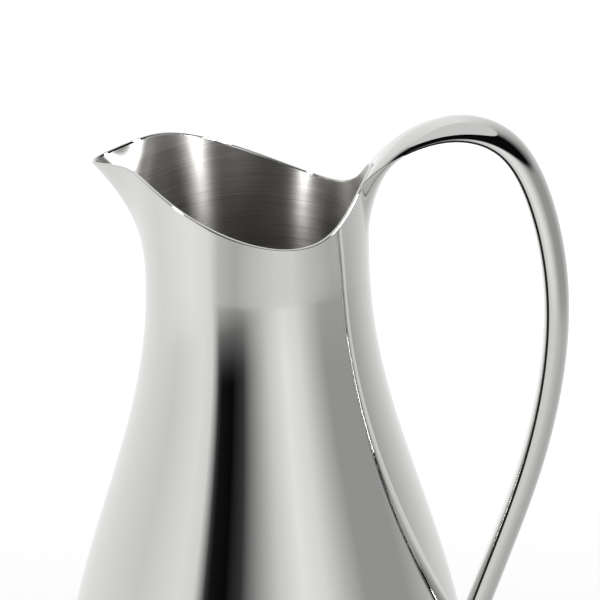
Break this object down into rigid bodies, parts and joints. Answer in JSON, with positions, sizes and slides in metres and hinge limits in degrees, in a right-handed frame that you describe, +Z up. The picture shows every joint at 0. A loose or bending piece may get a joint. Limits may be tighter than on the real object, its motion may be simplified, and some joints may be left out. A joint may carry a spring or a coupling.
{
  "type": "water pitcher",
  "caption": "Tall pear-shaped polished metal water pitcher with a flared pouring lip, a wavy rim and a slender looped handle.",
  "frame": {"origin": "centre of the base's foot ring, on the table", "axes": "+Z up along the body's axis, -X towards the spout, +X towards the handle, and the XZ plane is the plane of symmetry"},
  "size_m": [0.1726, 0.1428, 0.2879],
  "materials": {
    "polished_steel": "mirror polished outside, fine brushed satin inside the body",
    "polished_base": "polished"
  },
  "bodies": {
    "root": {"body_shell": "polished_steel", "base_disc": "polished_base", "handle_outer_shell": "polished_steel", "handle_inner_shell": "polished_steel"}
  },
  "joints": []
}
